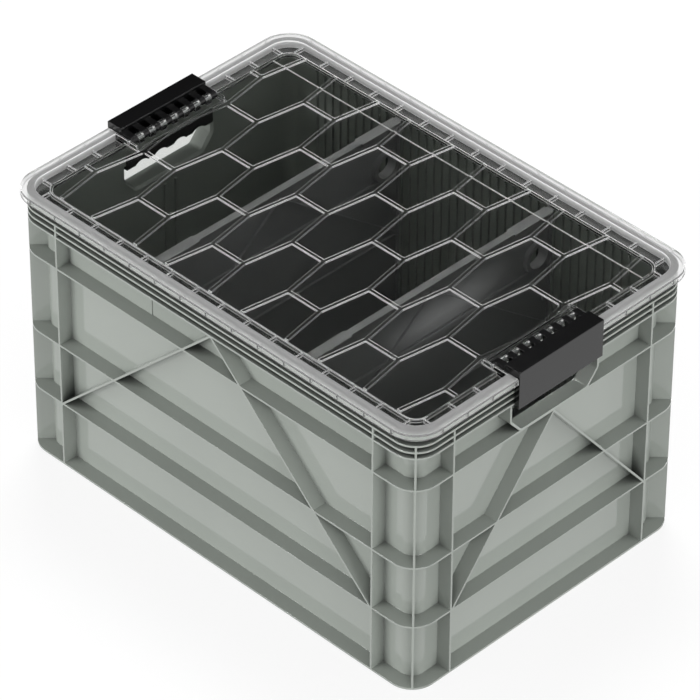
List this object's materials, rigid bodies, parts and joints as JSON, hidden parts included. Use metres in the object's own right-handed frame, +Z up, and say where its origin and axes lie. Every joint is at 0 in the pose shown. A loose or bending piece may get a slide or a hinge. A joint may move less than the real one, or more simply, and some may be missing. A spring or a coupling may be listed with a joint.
{
  "type": "storage crate",
  "caption": "Ribbed plastic storage crate with a clear hinged-latch lid, hand openings with grips, and lift-out dividers.",
  "frame": {"origin": "on the floor under the middle of the crate", "axes": "+X along the crate's length towards latch_right, +Y across it to the far long wall, +Z up"},
  "size_m": [0.616, 0.4254, 0.3597],
  "materials": {
    "crate_plastic": "glossy moulding",
    "clear_plastic": "clear polished moulding",
    "latch_plastic": "black glossy moulding",
    "pin_steel": "plain drawn rod",
    "grip_plastic": "black soft-touch moulding",
    "divider_plastic": "dark grey satin moulding"
  },
  "bodies": {
    "crate": {"crate_shell": "crate_plastic", "grip_left": "grip_plastic", "grip_right": "grip_plastic"},
    "lid": {"lid": "clear_plastic", "latch_pin_left": "pin_steel", "latch_pin_right": "pin_steel"},
    "latch_left": {"latch_left": "latch_plastic"},
    "latch_right": {"latch_right": "latch_plastic"},
    "divider_left": {"divider_left": "divider_plastic"},
    "divider_right": {"divider_right": "divider_plastic"}
  },
  "joints": [
    {"name": "lid_lift", "type": "slide", "parent": "crate", "child": "lid", "axis": [0, 0, 1], "range_m": [0, 0.4]},
    {"name": "latch_right_pivot", "type": "hinge", "parent": "lid", "child": "latch_right", "pos_m": [0.272, 0, 0.3502], "axis": [0, -1, 0], "range_deg": [0, 120]},
    {"name": "latch_left_pivot", "type": "hinge", "parent": "lid", "child": "latch_left", "pos_m": [-0.272, 0, 0.3502], "axis": [0, 1, 0], "range_deg": [0, 120]},
    {"name": "divider_left_lift", "type": "slide", "parent": "crate", "child": "divider_left", "axis": [0, 0, 1], "range_m": [0, 0.002]},
    {"name": "divider_right_lift", "type": "slide", "parent": "crate", "child": "divider_right", "axis": [0, 0, 1], "range_m": [0, 0.002]}
  ]
}
